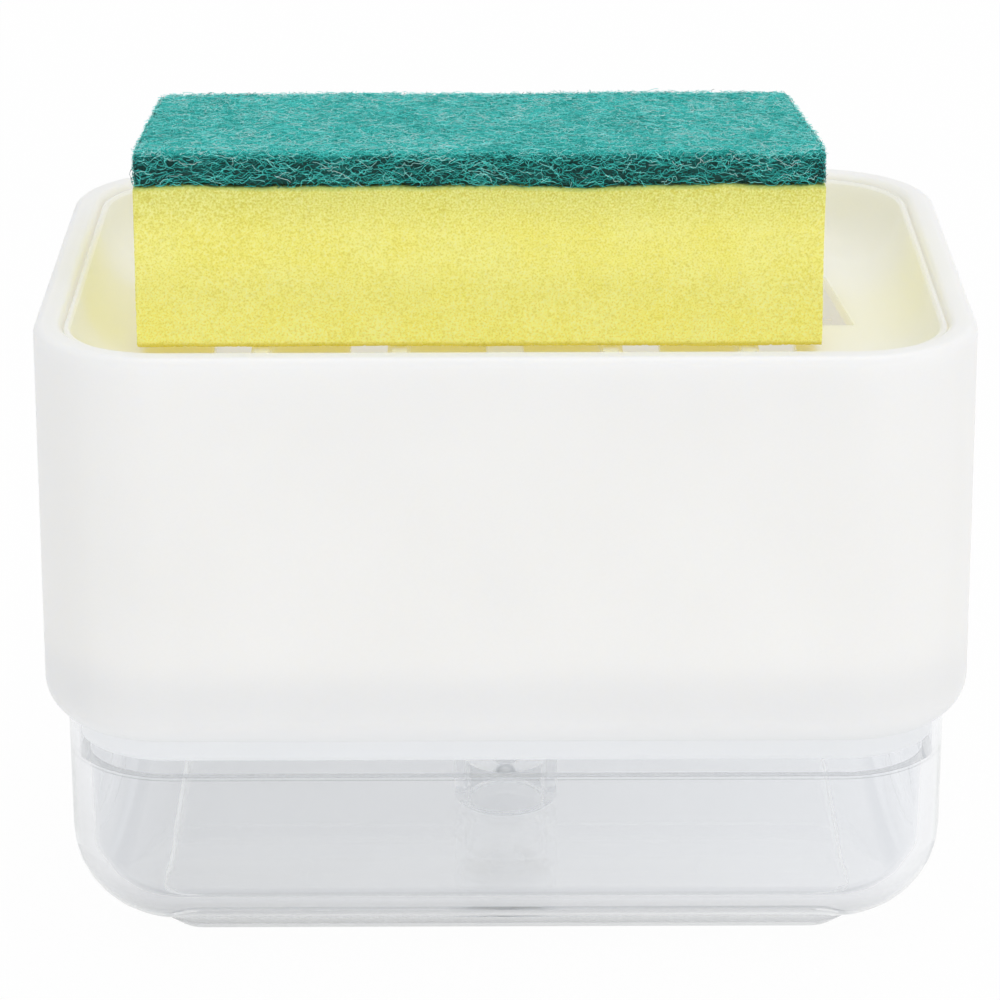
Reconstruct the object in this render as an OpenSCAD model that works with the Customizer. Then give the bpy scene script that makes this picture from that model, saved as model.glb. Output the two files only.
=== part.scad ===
// Soap pump caddy: a clear soap tank under a white housing, with a sponge tray that is pressed
// to pump soap. Millimetres, +Z up, +X along the long side. The origin is the centre of the
// foot's underside, where the caddy stands.

/* [Tank] */
// How much longer the tank is than the sponge that the tray holds
tank_beyond_sponge = 28.2; // [26:0.1:50]
// Outer depth of the tank
tank_depth = 92; // [86:0.1:110]
// Radius of the tank's upright corners
tank_corner = 16; // [14.5:0.1:24]
// Radius between the tank's walls and its base
tank_heel = 14; // [8:0.1:14.4]
// Height of the tank's mouth above the ground
tank_height = 46; // [40:0.1:54]
// Wall below the step
tank_wall = 3; // [2.4:0.1:4]
// Wall above the step, where the deck plugs in
mouth_wall = 1.5; // [1.2:0.1:2]
// Height of the step inside the wall
step_height = 28.8; // [22:0.1:29]
// Thickness of the tank's floor
floor_wall = 3; // [2:0.1:4]
// Height of the foot under the tank
foot_height = 1.7; // [1:0.1:3]
// How far the foot lies in from the tank's ends
foot_end_inset = 12.6; // [11:0.1:24]
// How far the foot lies in from the tank's front and back
foot_side_inset = 8.8; // [8.5:0.1:20]
// How far the foot's side slopes in on its way down
foot_slope = 2.2; // [0.5:0.1:4]

/* [Housing] */
// Gap between the tank and the housing's wall
sleeve_gap = 0.7; // [0.4:0.1:1.5]
// Wall of the housing
housing_wall = 2.5; // [1.8:0.1:3]
// Height of the housing's lower edge above the ground
housing_low = 35.2; // [30:0.1:36]
// Height of the housing's rim above the ground
housing_top = 93.3; // [93:0.1:100]
// How far each wall leans in on its way up to the rim
housing_lean = 0.4; // [0:0.05:1]
// Radius under the housing's lower edge
hem_round = 5.5; // [4:0.1:7]
// Width of the rolled rim, measured at the top
rim_width = 4; // [3.4:0.1:5]
// Depth of the rim's upright inner face
rim_depth = 7; // [5:0.1:10]
// Radius on the rim's outer edge
rim_round = 1.4; // [0.6:0.1:1.8]
// Radius on the rim's inner edge
rim_inner_round = 1; // [0.6:0.1:1.8]

/* [Deck] */
// Thickness of the deck's plate
deck_plate = 2.2; // [1.6:0.1:3]
// Wall of the skirt that plugs the tank's mouth
skirt_wall = 1.8; // [1.4:0.1:2.4]
// Gap between the skirt and the tank's mouth
plug_gap = 0.3; // [0.2:0.05:0.5]
// Height of the skirt's lower edge above the ground
skirt_low = 31; // [30:0.1:33]
// Outer radius of the neck that carries the pump
neck_radius = 13.5; // [12.5:0.1:15]
// Height of the neck above the plate
neck_height = 7; // [6.5:0.1:8]

/* [Pump] */
// Outer radius of the pump's barrel
barrel_radius = 8; // [7.8:0.05:8.6]
// Bore radius of the barrel
bore_radius = 6.5; // [6:0.05:6.8]
// Outer radius of the piston's stem
stem_radius = 3.5; // [3:0.05:3.8]
// Bore radius of the stem
stem_bore = 1.7; // [1.4:0.05:1.8]
// How far the tray and the pump's head go down
press_travel = 8; // [6:0.1:8]
// Wire of the return spring
spring_wire = 0.8; // [0.6:0.05:1]
// Mean radius of the spring's coil
spring_radius = 4.6; // [4.3:0.05:4.9]
// Turns of the spring
spring_turns = 8; // [6:1:10]
// Radius of the inlet valve's ball
inlet_ball_radius = 2.4; // [2.2:0.05:2.6]
// Radius of the outlet valve's ball
outlet_ball_radius = 2.2; // [2:0.05:2.3]

/* [Tray] */
// Gap between the tray and the rim
tray_gap = 0.3; // [0.25:0.05:0.6]
// How far the tray's edge lies below the rim
tray_sink = 0.8; // [0.6:0.1:2]
// Depth of the dish from its edge to its floor
dish_depth = 9.9; // [8.6:0.1:11]
// Radius between the dish's floor and its wall
dish_round = 8.4; // [6:0.1:8.5]
// Thickness of the dish
dish_wall = 2; // [1.5:0.1:2.4]
// Width of a drain slot
slot_width = 5.5; // [4:0.1:6.5]
// Length of a drain slot
slot_length = 28.8; // [24:0.1:34]
// Pitch of the drain slots, as a share of the sponge's length
slot_pitch_share = 0.2; // [0.19:0.005:0.21]
// Width of a rib under the sponge
rib_width = 3; // [2:0.1:4]
// Height of a rib above the dish's floor
rib_height = 1.2; // [0.8:0.1:2]
// Length of a rib
rib_length = 35; // [30:0.1:40]

/* [Sponge] */
// Length of the sponge
sponge_length = 100; // [80:0.5:104]
// Depth of the sponge
sponge_depth = 34.5; // [25:0.5:45]
// Thickness of the yellow foam
foam_height = 24.2; // [16:0.1:30]
// Thickness of the scouring pad
pad_height = 5.3; // [3:0.1:8]
// How far the sponge lies off the tray's centre along the tray
sponge_shift_x = -3.7; // [-6:0.1:3]
// How far the sponge lies off the tray's centre towards the back
sponge_shift_y = 2.3; // [-4:0.1:4]

/* [Hidden] */

// Roundness of true curves, and the steps of a rounded edge in a profile
$fn = 64;
round_steps = 9;
// How far a cut runs past the face that it opens
overrun = 1;

// Tank, sized round the sponge, and its foot
tank_length = sponge_length + tank_beyond_sponge;
foot_length = tank_length - 2 * foot_end_inset;
foot_depth = tank_depth - 2 * foot_side_inset;

// Housing, seen from its lower edge, where it is widest
housing_length = tank_length + 2 * (sleeve_gap + housing_wall);
housing_depth = tank_depth + 2 * (sleeve_gap + housing_wall);
housing_corner = tank_corner + sleeve_gap + housing_wall;
housing_height = housing_top - housing_low;
// The rim's roll eases back into the wall over this height
rim_ease = rim_width - housing_wall;

// Deck
deck_top = tank_height + deck_plate;
skirt_inset = mouth_wall + plug_gap;
skirt_round = 1.2;
neck_bore = barrel_radius + 0.5 * sleeve_gap;
neck_top = deck_top + neck_height;
deck_rib = 1.6;
deck_rib_depth = 7;
deck_rib_inset = 30.1;
deck_rib_place = tank_length / 2 - deck_rib_inset;
// The soft ring sits in a groove round the skirt, just under the plate
seal_height = 2.4;
seal_depth = 0.9;
seal_drop = 3;
seal_squeeze = 0.1;

// Snap hooks that hold the housing down on the deck, and the catches that they grip
hook_width = 12;
hook_thickness = 1.8;
hook_reach = 0.9;
hook_height = 9;
hook_head = 2.4;
hook_inset = 28.1;
hook_place = tank_length / 2 - hook_inset;
hook_gap = 0.15;
catch_height = 1.6;
// Upright ribs inside the housing, which stand on the deck's plate
stay_thickness = 1.8;
stay_reach = 4.5;
stay_inset = 12.1;
stay_place = tank_length / 2 - stay_inset;
stay_end_inset = 24;
stay_end_place = tank_depth / 2 - stay_end_inset;
stay_clear = 1;

// Pump barrel: flange, upstand, foot and valve seat
gasket_height = 1;
flange_height = 1.6;
flange_inset = 1.3;
flange_radius = neck_radius - flange_inset;
flange_low = neck_top + gasket_height;
flange_top = flange_low + flange_height;
upstand_height = 3.2;
upstand_ledge = 0.6;
upstand_radius = barrel_radius + upstand_ledge;
upstand_top = flange_top + upstand_height;
tank_floor = foot_height + floor_wall;
barrel_clear = 1;
barrel_low = tank_floor + barrel_clear;
barrel_round = 0.8;
inlet_notch_width = 3;
inlet_notch_height = 2.6;
inlet_hall = 6.4;
inlet_hole = 1.6;
hall_ledge = 0.9;
hall_radius = bore_radius - hall_ledge;
seat_low = barrel_low + inlet_hall;
seat_wall = 1.6;
seat_edge = seat_low + seat_wall;
// Room round a valve ball for the soap to pass
ball_room = 0.35;
pocket_radius = inlet_ball_radius + ball_room;
pocket_depth = 3;
pocket_top = seat_edge + pocket_depth;
valve_gap = 0.05;
ball_lift = 1.2;
inlet_ball_z = seat_edge - inlet_hole + inlet_ball_radius * sqrt(2) + valve_gap;

// Collar that clamps the barrel on the neck
collar_gap = 0.3;
collar_wall = 2.2;
collar_web = 1.8;
collar_radius = neck_radius + collar_gap + collar_wall;
collar_clear = 1.2;
collar_low = deck_top + collar_clear;
collar_top = flange_top + collar_web;
grip_count = 24;
grip_radius = 0.6;

// Cap that guides the stem in the barrel's mouth
run_gap = 0.05;
cap_plate = 1.5;
cap_lip = 0.9;
cap_radius = upstand_radius + cap_lip;
cap_plug = 5.2;
cap_top = upstand_top + cap_plate;
cap_plug_low = upstand_top - cap_plug;

// Tray levels, from the rim down
tray_length = housing_length - 2 * (housing_lean + rim_width + tray_gap);
tray_depth = housing_depth - 2 * (housing_lean + rim_width + tray_gap);
tray_corner = housing_corner - (housing_lean + rim_width + tray_gap);
tray_top = housing_top - tray_sink;
dish_floor = tray_top - dish_depth;
dish_under = dish_floor - dish_wall;
tray_skirt_wall = 1.5;
tray_skirt_drop = 3;
tray_low = dish_under - tray_skirt_drop;
dish_edge = 1;
edge_round = 0.35;
slot_pitch = sponge_length * slot_pitch_share;
rib_place_shares = [-1.78, -0.77, 0.77, 1.78];
centre_slot_length = 6.5;
slot_round = 1.2;
// Drain windows: their long edges measured from the sponge's half length, and their two ends
window_inner_inset = 4.5;
window_inner = sponge_length / 2 - window_inner_inset;
window_front_beyond = 2.2;
window_front_reach = sponge_length / 2 + window_front_beyond;
window_back_inset = 0.3;
window_back_reach = sponge_length / 2 - window_back_inset;
window_front = -0.8;
window_back = 24;

// Head under the tray
head_plate = 2.4;
head_radius = 16.5;
head_low = dish_under - head_plate;
spout_radius = 6;
spout_gap = 0.3;
spout_rise = 0.3;
spout_top = dish_floor + spout_rise;
socket_radius = 6.2;
socket_low = cap_top + press_travel + 0.5 * cap_plate;
gusset_thickness = 1.2;
gusset_drop = 4;
gusset_count = 6;
chamber_radius = outlet_ball_radius + ball_room;
channel_width = 1.3;
stem_cover = 2;

// Stem and piston, at rest
stem_top = head_low - stem_cover;
outlet_ball_z = stem_top + sqrt(pow(outlet_ball_radius, 2) - pow(stem_bore, 2)) + valve_gap;
chamber_top = outlet_ball_z + outlet_ball_radius + ball_lift;
piston_height = 7.6;
piston_clear = 0.5;
piston_top = cap_plug_low - piston_clear;
piston_low = piston_top - piston_height;
piston_lip = 1.2;
piston_waist = 0.85;
rod_flange_height = 1.5;
rod_flange_radius = spring_radius + spring_wire;
rod_low = piston_low - rod_flange_height;
rod_spigot = 6;
rod_radius = 2.9;
stem_low = piston_low + 0.5 * piston_height;
rod_groove = 0.9;
rod_core = 0.8;

// Spring seat, which also keeps the inlet ball in its pocket
cage_flange = 1.4;
cage_radius = bore_radius - run_gap;
hub_clear = 0.25;
hub_radius = spring_radius - 0.5 * spring_wire - hub_clear;
hub_low = inlet_ball_z + inlet_ball_radius + ball_lift;
hub_plate = 1.4;

// Spring's ends lie on its two seats
coil_clear = 0.1;
spring_sides = 6;
spring_rings = 8;

// Sponge
sponge_seat_gap = 0.3;
sponge_low = dish_floor + rib_height + sponge_seat_gap;
sponge_round = 2;
pad_low = sponge_low + foam_height;

// Points of an edge rounded at the bottom of a side, as [inset, height] from below upwards
function heel(radius, low) =
    [for (i = [0:round_steps]) let (t = 90 - 90 * i / round_steps)
        [radius * (1 - cos(t)), low + radius * (1 - sin(t))]];

// Points of an edge rounded at the top of a side, from below upwards, from an inset on
function brow(radius, high, inset) =
    [for (i = [0:round_steps]) let (t = 90 * i / round_steps)
        [inset + radius * (1 - cos(t)), high - radius * (1 - sin(t))]];

// Points of a lower edge that starts at the wall's inner face and rounds out to its outer face
function hem(radius, wall, low) =
    let (start = acos((radius - wall) / radius), drop = radius * (1 - sin(start)))
    [for (i = [0:round_steps]) let (t = start * (1 - i / round_steps))
        [radius * (1 - cos(t)), low - drop + radius * (1 - sin(t))]];

// Points of a hollow that curves from a floor up into its wall, from an inset on
function cove(radius, low, inset) =
    [for (i = [0:round_steps]) let (t = 90 * i / round_steps)
        [inset + radius * (1 - sin(t)), low + radius * (1 - cos(t))]];

// Mirrors a side's points to close a section of a given half width
function section(side, half) = concat(
    [for (p = side) [half - p[0], p[1]]],
    [for (i = [len(side) - 1:-1:0]) [side[i][0] - half, side[i][1]]]);

// A form on a rounded rectangle, whose sides follow [inset, height] points from below upwards
module rounded_form(length, depth, corner, side) {
    low = side[0][1];
    high = side[len(side) - 1][1];
    rotate([90, 0, 90])
        linear_extrude(length - 2 * corner, center = true)
            polygon(section(side, depth / 2));
    rotate([90, 0, 0])
        linear_extrude(depth - 2 * corner, center = true)
            polygon(section(side, length / 2));
    for (turn = [0:3])
        translate([
            (turn == 0 || turn == 3 ? 1 : -1) * (length / 2 - corner),
            (turn < 2 ? 1 : -1) * (depth / 2 - corner), 0])
            rotate([0, 0, 90 * turn])
                rotate_extrude(angle = 90)
                    polygon(concat([[0, low]], [for (p = side) [corner - p[0], p[1]]], [[0, high]]));
}

// A disc about the pump's axis, between two heights
module disc(outer, low, high) {
    translate([0, 0, low])
        cylinder(r = outer, h = high - low);
}

module tank() {
    color([0.86, 0.9, 0.92, 0.35])
    difference() {
        union() {
            rounded_form(tank_length, tank_depth, tank_corner,
                concat(heel(tank_heel, foot_height), [[0, tank_height]]));
            rounded_form(foot_length, foot_depth, 3 * foot_slope,
                [[foot_slope, 0], [0, foot_height], [0, tank_floor - 0.5 * floor_wall]]);
        }
        rounded_form(tank_length - 2 * tank_wall, tank_depth - 2 * tank_wall, tank_corner - tank_wall,
            concat(heel(tank_heel - tank_wall, tank_floor), [[0, step_height + overrun]]));
        rounded_form(tank_length - 2 * mouth_wall, tank_depth - 2 * mouth_wall,
            tank_corner - mouth_wall, [[0, step_height], [0, tank_height + overrun]]);
    }
}

module pump_deck() {
    skirt_length = tank_length - 2 * skirt_inset;
    skirt_depth = tank_depth - 2 * skirt_inset;
    skirt_corner = tank_corner - skirt_inset;
    groove_high = tank_height - seal_drop;
    color([0.95, 0.95, 0.95])
    union() {
        difference() {
            union() {
                rounded_form(tank_length, tank_depth, tank_corner,
                    concat([[0, tank_height]], brow(0.3 * deck_plate, deck_top, 0)));
                rounded_form(skirt_length, skirt_depth, skirt_corner,
                    concat(heel(skirt_round, skirt_low), [[0, groove_high - seal_height],
                        [seal_depth, groove_high - seal_height], [seal_depth, groove_high],
                        [0, groove_high], [0, tank_height + 0.5 * deck_plate]]));
                disc(neck_radius, tank_height, neck_top);
            }
            difference() {
                rounded_form(skirt_length - 2 * skirt_wall, skirt_depth - 2 * skirt_wall,
                    skirt_corner - skirt_wall, [[0, skirt_low - overrun], [0, tank_height]]);
                deck_ribs(skirt_length, skirt_depth);
            }
            disc(neck_bore, tank_height - deck_rib_depth - overrun, neck_top + overrun);
        }
        for (side = [-1, 1], end = [-1, 1])
            snap_hook(end * hook_place, side);
    }
}

// Ribs under the deck's plate, from wall to wall past the pump
module deck_ribs(length, depth) {
    low = tank_height - deck_rib_depth;
    difference() {
        union() {
            translate([-length / 2, -deck_rib / 2, low])
                cube([length, deck_rib, deck_rib_depth + overrun]);
            for (side = [-1, 1])
                translate([side * deck_rib_place - deck_rib / 2, -depth / 2, low])
                    cube([deck_rib, depth, deck_rib_depth + overrun]);
        }
        disc(neck_bore, low - overrun, tank_height + overrun);
    }
}

// Springy arm whose head grips a catch inside the housing's long wall
module snap_hook(place, side) {
    face = tank_depth / 2 + sleeve_gap - hook_reach - 2 * hook_gap;
    low = deck_top - 0.5 * deck_plate;
    head_low = deck_top + hook_height;
    translate([place, 0, 0])
        mirror([0, side < 0 ? 1 : 0, 0])
            rotate([90, 0, 90])
                linear_extrude(hook_width, center = true)
                    polygon([
                        [face - hook_thickness, low], [face, low], [face, head_low],
                        [face + hook_reach, head_low], [face, head_low + hook_head],
                        [face - hook_thickness, head_low + hook_head]]);
}

module deck_seal() {
    inner_inset = skirt_inset + seal_depth;
    high = tank_height - seal_drop - seal_squeeze;
    low = tank_height - seal_drop - seal_height + seal_squeeze;
    color([0.8, 0.8, 0.8])
    difference() {
        rounded_form(tank_length - 2 * mouth_wall - 2 * seal_squeeze,
            tank_depth - 2 * mouth_wall - 2 * seal_squeeze, tank_corner - mouth_wall - seal_squeeze,
            [[seal_depth / 3, low], [0, low + seal_height / 3], [0, high - seal_height / 3],
                [seal_depth / 3, high]]);
        rounded_form(tank_length - 2 * inner_inset, tank_depth - 2 * inner_inset,
            tank_corner - inner_inset, [[0, low - overrun], [0, high + overrun]]);
    }
}

// Inset of the housing's leaning wall at a height
function lean_at(height) = housing_lean * (height - housing_low) / housing_height;

module housing() {
    inner = housing_lean + rim_width;
    roll_low = housing_top - rim_depth;
    ease_low = roll_low - rim_ease;
    color([0.96, 0.96, 0.96])
    union() {
        difference() {
            rounded_form(housing_length, housing_depth, housing_corner,
                concat(hem(hem_round, housing_wall, housing_low),
                    brow(rim_round, housing_top, housing_lean)));
            rounded_form(housing_length, housing_depth, housing_corner,
                concat([[housing_wall, housing_low - overrun], [housing_wall, housing_low]],
                    [[housing_wall + lean_at(ease_low), ease_low], [inner, roll_low]],
                    [for (i = [0:round_steps]) let (t = 90 * i / round_steps)
                        [inner - rim_inner_round * (1 - cos(t)),
                            housing_top - rim_inner_round * (1 - sin(t))]],
                    [[inner - rim_inner_round, housing_top + overrun]]));
        }
        for (side = [-1, 1]) {
            for (end = [-1, 1]) {
                catch(end * hook_place, side);
                long_stay(end * stay_place, side);
                end_stay(side, end * stay_end_place);
            }
            long_stay(0, side);
        }
    }
}

// Catch that a snap hook grips, on the inside of a long wall
module catch(place, side) {
    wall = housing_depth / 2 - housing_wall;
    high = deck_top + hook_height - hook_gap;
    translate([place, 0, 0])
        mirror([0, side < 0 ? 1 : 0, 0])
            rotate([90, 0, 90])
                linear_extrude(hook_width, center = true)
                    polygon([
                        [wall + 0.4 * housing_wall, high - 2 * catch_height],
                        [wall - hook_reach, high - catch_height], [wall - hook_reach, high],
                        [wall + 0.4 * housing_wall, high]]);
}

// Section of a stay: an upright rib with a sloping top, from its wall inwards
module stay_section(wall) {
    high = tray_low - press_travel - stay_clear;
    linear_extrude(stay_thickness, center = true)
        polygon([
            [wall - stay_reach, deck_top], [wall - sleeve_gap, deck_top],
            [wall - sleeve_gap, deck_top + sleeve_gap],
            [wall + 0.4 * housing_wall, deck_top + sleeve_gap], [wall + 0.4 * housing_wall, high],
            [wall - 0.5 * stay_reach, high], [wall - stay_reach, high - stay_reach]]);
}

module long_stay(place, side) {
    translate([place, 0, 0])
        mirror([0, side < 0 ? 1 : 0, 0])
            rotate([90, 0, 90])
                stay_section(housing_depth / 2 - housing_wall);
}

module end_stay(side, place) {
    translate([0, place, 0])
        mirror([side < 0 ? 1 : 0, 0, 0])
            rotate([90, 0, 0])
                stay_section(housing_length / 2 - housing_wall);
}

module press_tray() {
    color([0.95, 0.95, 0.93])
    difference() {
        union() {
            difference() {
                rounded_form(tray_length, tray_depth, tray_corner,
                    concat([[0, tray_low]], brow(edge_round, tray_top, 0)));
                rounded_form(tray_length, tray_depth, tray_corner,
                    [[tray_skirt_wall, tray_low - overrun],
                        [tray_skirt_wall, tray_top - dish_edge - edge_round]]);
            }
            rounded_form(tray_length, tray_depth, tray_corner,
                concat(cove(dish_round, dish_under, 0.5 * tray_skirt_wall),
                    [[0.5 * tray_skirt_wall, tray_top - edge_round]]));
        }
        rounded_form(tray_length, tray_depth, tray_corner,
            concat(cove(dish_round, dish_floor, dish_edge), [[dish_edge, tray_top - edge_round],
                [dish_edge - edge_round, tray_top], [dish_edge - edge_round, tray_top + overrun]]));
        disc(spout_radius + spout_gap, tray_low - overrun, dish_floor + overrun);
        for (place = [-2, -1, 1, 2])
            drain_slot(place * slot_pitch, 0, slot_length);
        for (side = [-1, 1])
            drain_slot(0, side * (slot_length - centre_slot_length) / 2, centre_slot_length);
        for (side = [0, 1])
            mirror([side, 0, 0])
                drain_window();
    }
    color([0.95, 0.95, 0.93])
    for (share = rib_place_shares)
        rest_rib(share * slot_pitch);
}

// Rib with round ends and eased edges, which holds the sponge off the dish's floor
module rest_rib(x) {
    step = rib_height / 3;
    for (level = [0, 1])
        translate([x, 0, dish_floor - 0.1 * dish_wall])
            linear_extrude(0.1 * dish_wall + rib_height - (1 - level) * step)
                stadium(rib_width - 2 * level * step, rib_length - 2 * level * step);
}

// Slot with rounded corners through the dish's floor
module drain_slot(x, y, length) {
    translate([x, y, dish_under - overrun])
        linear_extrude(dish_wall + 2 * overrun)
            soft_rectangle(slot_width, length, slot_round);
}

// Flat rectangle with rounded corners
module soft_rectangle(width, length, corner) {
    square([width, length - 2 * corner], center = true);
    square([width - 2 * corner, length], center = true);
    for (side = [-1, 1], end = [-1, 1])
        translate([side * (width / 2 - corner), end * (length / 2 - corner)])
            circle(corner);
}

// Flat outline with parallel sides and round ends
module stadium(width, length) {
    square([width, length - width], center = true);
    for (side = [-1, 1])
        translate([0, side * (length - width) / 2])
            circle(width / 2);
}

// Window beside the sponge, where a finger lifts the tray out
module drain_window() {
    translate([0, 0, dish_under - overrun])
        linear_extrude(dish_wall + 2 * overrun)
            polygon([[window_inner, window_front], [window_front_reach, window_front],
                [window_back_reach, window_back], [window_inner, window_back]]);
}

module sponge_foam() {
    color([0.97, 0.91, 0.45])
    translate([sponge_shift_x, sponge_shift_y, 0])
        rounded_form(sponge_length, sponge_depth, sponge_round,
            concat(heel(0.4 * sponge_round, sponge_low), [[0, pad_low]]));
}

module scouring_pad() {
    color([0.05, 0.5, 0.42])
    translate([sponge_shift_x, sponge_shift_y, 0])
        rounded_form(sponge_length, sponge_depth, sponge_round,
            concat([[0, pad_low]], brow(0.3 * sponge_round, pad_low + pad_height, 0)));
}

module pump_barrel() {
    color([0.93, 0.93, 0.93, 0.8])
    difference() {
        rotate_extrude()
            polygon([
                [0, barrel_low], [barrel_radius - barrel_round, barrel_low],
                [barrel_radius, barrel_low + barrel_round], [barrel_radius, flange_low],
                [flange_radius, flange_low], [flange_radius, flange_top],
                [upstand_radius, flange_top], [upstand_radius, upstand_top], [0, upstand_top]]);
        rotate_extrude()
            polygon([
                [0, barrel_low - overrun], [hall_radius, barrel_low - overrun],
                [hall_radius, seat_low], [inlet_hole, seat_low], [inlet_hole, seat_edge],
                [pocket_radius, seat_edge + pocket_radius - inlet_hole], [pocket_radius, pocket_top],
                [bore_radius, pocket_top], [bore_radius, upstand_top + overrun],
                [0, upstand_top + overrun]]);
        translate([-barrel_radius - overrun, -inlet_notch_width / 2, barrel_low - overrun])
            cube([2 * (barrel_radius + overrun), inlet_notch_width, inlet_notch_height + overrun]);
    }
}

module spring_seat() {
    color([0.9, 0.9, 0.92])
    difference() {
        union() {
            disc(cage_radius, pocket_top, pocket_top + cage_flange);
            disc(hub_radius, pocket_top, hub_low + hub_plate);
        }
        disc(pocket_radius, pocket_top - overrun, hub_low);
        cross_channel(pocket_radius, pocket_top - overrun, hub_low + hub_plate + overrun);
    }
}

// Two crossed slots that let soap past a ball but not the ball itself
module cross_channel(reach, low, high) {
    for (turn = [0, 90])
        rotate([0, 0, turn])
            translate([-reach, -channel_width / 2, low])
                cube([2 * reach, channel_width, high - low]);
}

module inlet_ball() {
    color([0.75, 0.78, 0.8])
    translate([0, 0, inlet_ball_z])
        sphere(inlet_ball_radius);
}

module outlet_ball() {
    color([0.75, 0.78, 0.8])
    translate([0, 0, outlet_ball_z])
        sphere(outlet_ball_radius);
}

module barrel_gasket() {
    color([0.25, 0.25, 0.27])
    difference() {
        disc(flange_radius, neck_top, flange_low);
        disc(neck_bore, neck_top - overrun, flange_low + overrun);
    }
}

module barrel_cap() {
    color([0.92, 0.92, 0.92])
    rotate_extrude()
        polygon([
            [stem_radius + run_gap, cap_plug_low], [bore_radius, cap_plug_low],
            [bore_radius, upstand_top], [cap_radius, upstand_top],
            [cap_radius, cap_top - 0.3 * cap_plate], [cap_radius - 0.3 * cap_plate, cap_top],
            [stem_radius + run_gap, cap_top]]);
}

module pump_collar() {
    color([0.94, 0.94, 0.94])
    union() {
        rotate_extrude()
            polygon([
                [neck_radius + collar_gap, collar_low], [collar_radius, collar_low],
                [collar_radius, collar_top - 0.4 * collar_web],
                [collar_radius - 0.4 * collar_web, collar_top],
                [upstand_radius + collar_gap, collar_top],
                [upstand_radius + collar_gap, flange_top],
                [neck_radius + collar_gap, flange_top]]);
        for (i = [0:grip_count - 1])
            rotate([0, 0, 360 * i / grip_count])
                translate([collar_radius - 0.3 * grip_radius, 0, collar_low])
                    cylinder(r = grip_radius, h = collar_top - collar_web - collar_low);
    }
}

module piston_stem() {
    color([0.93, 0.93, 0.93])
    difference() {
        disc(stem_radius, stem_low, stem_top);
        disc(stem_bore, stem_low - overrun, stem_top + overrun);
    }
}

module piston_rod() {
    color([0.9, 0.9, 0.92])
    difference() {
        union() {
            disc(rod_flange_radius, rod_low, piston_low);
            disc(rod_radius, rod_low, stem_low);
            disc(stem_bore, rod_low, stem_low + rod_spigot);
        }
        for (i = [0:3])
            rotate([0, 0, 90 * i])
                translate([rod_core, -rod_groove / 2, rod_low - overrun])
                    cube([rod_radius + rod_groove, rod_groove,
                        stem_low + rod_spigot - rod_low + 2 * overrun]);
    }
}

module piston_cup() {
    lip = bore_radius - run_gap;
    waist = bore_radius - piston_waist;
    color([0.85, 0.87, 0.9])
    rotate_extrude()
        polygon([
            [rod_radius, piston_low], [lip, piston_low], [lip, piston_low + piston_lip],
            [waist, piston_low + 2 * piston_lip], [waist, piston_top - 2 * piston_lip],
            [lip, piston_top - piston_lip], [lip, piston_top],
            [lip - piston_lip, piston_top], [lip - 1.2 * piston_lip, piston_top - piston_lip],
            [stem_radius, piston_top - piston_lip], [stem_radius, stem_low],
            [rod_radius, stem_low]]);
}

module press_head() {
    color([0.94, 0.94, 0.94])
    difference() {
        union() {
            disc(head_radius, head_low, dish_under);
            disc(spout_radius, head_low, spout_top);
            disc(socket_radius, socket_low, head_low + 0.5 * head_plate);
            for (i = [0:gusset_count - 1])
                rotate([0, 0, 360 * i / gusset_count])
                    rotate([90, 0, 0])
                        linear_extrude(gusset_thickness, center = true)
                            polygon([
                                [socket_radius - 0.3 * gusset_drop, head_low - gusset_drop],
                                [socket_radius + 0.3 * gusset_drop, head_low - gusset_drop],
                                [head_radius - 0.3 * gusset_drop, head_low],
                                [head_radius - 0.3 * gusset_drop, head_low + 0.5 * head_plate],
                                [socket_radius - 0.3 * gusset_drop, head_low + 0.5 * head_plate]]);
        }
        disc(stem_radius, socket_low - overrun, stem_top);
        disc(chamber_radius, stem_top - overrun, chamber_top);
        cross_channel(chamber_radius, chamber_top - overrun, spout_top + overrun);
    }
}

// A helix of one wire between two heights, with the ends cut square
coil_low = pocket_top + cage_flange + coil_clear + spring_wire / 2;
coil_high = rod_low - coil_clear - spring_wire / 2;
coil_steps = spring_turns * spring_rings;
coil_rise = (coil_high - coil_low) / coil_steps;
function coil_angle(i) = 360 * i / spring_rings;
function coil_centre(i) = [spring_radius * cos(coil_angle(i)), spring_radius * sin(coil_angle(i)),
    coil_low + coil_rise * i];
coil_climb = atan(coil_rise * spring_rings / (2 * PI * spring_radius));
function coil_point(i, k) =
    let (a = coil_angle(i), b = 360 * k / spring_sides, r = spring_wire / 2,
        out = [cos(a), sin(a), 0],
        up = [sin(coil_climb) * sin(a), -sin(coil_climb) * cos(a), cos(coil_climb)])
    coil_centre(i) + r * cos(b) * out + r * sin(b) * up;
coil_gaps = [for (i = [0:coil_steps - spring_rings / 2]) min([for (j = [i + spring_rings / 2:coil_steps])
    norm(coil_centre(j) - coil_centre(i)) - spring_wire])];
echo(least_gap_in_the_spring = min(coil_gaps));

module return_spring() {
    n = spring_sides;
    points = [for (i = [0:coil_steps]) for (k = [0:n - 1]) coil_point(i, k)];
    sides = [for (i = [0:coil_steps - 1]) for (k = [0:n - 1])
        let (a = i * n + k, b = i * n + (k + 1) % n)
        each [[a, a + n, b], [b, a + n, b + n]]];
    ends = [[for (k = [0:n - 1]) k], [for (k = [n - 1:-1:0]) coil_steps * n + k]];
    color([0.72, 0.74, 0.76])
    polyhedron(points, concat(sides, ends));
}

tank();
pump_deck();
deck_seal();
housing();
press_tray();
press_head();
piston_stem();
piston_rod();
piston_cup();
return_spring();
spring_seat();
inlet_ball();
outlet_ball();
pump_barrel();
barrel_gasket();
pump_collar();
barrel_cap();
sponge_foam();
scouring_pad();
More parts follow.
